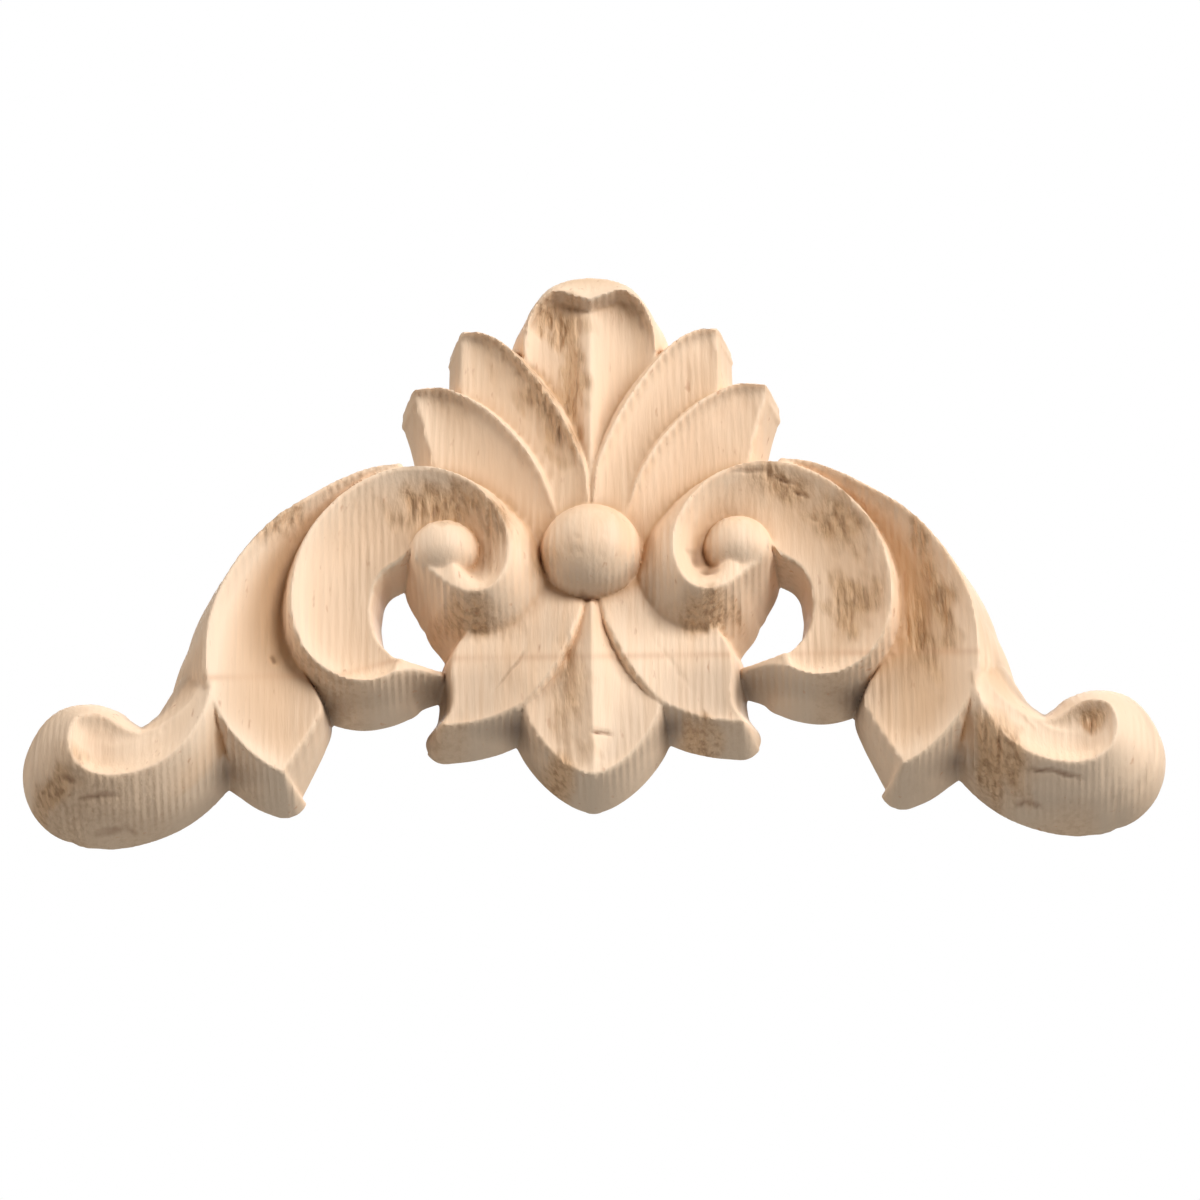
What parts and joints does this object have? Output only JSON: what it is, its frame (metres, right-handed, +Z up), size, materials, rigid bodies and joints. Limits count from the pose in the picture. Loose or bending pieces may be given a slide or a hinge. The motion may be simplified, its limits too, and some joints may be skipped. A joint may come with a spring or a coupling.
{
  "type": "wooden corner onlay",
  "caption": "Carved wooden corner onlay: a fan of petals over a round boss, scrolling leaves each side ending in scroll feet, flat back for gluing on.",
  "frame": {"origin": "on the flat back, behind the foot of the round boss, on the line of symmetry", "axes": "+X across the onlay to its right hand scroll foot, +Z up its face to the top petal, +Y out of its flat back into what it is glued to; the carving faces -Y"},
  "size_m": [0.1182, 0.0101, 0.0663],
  "materials": {
    "wood": "raw pale hardwood, unfinished, with fine upright cutter marks and patches of torn grain"
  },
  "bodies": {
    "root": {"corner_onlay": "wood"}
  },
  "joints": []
}
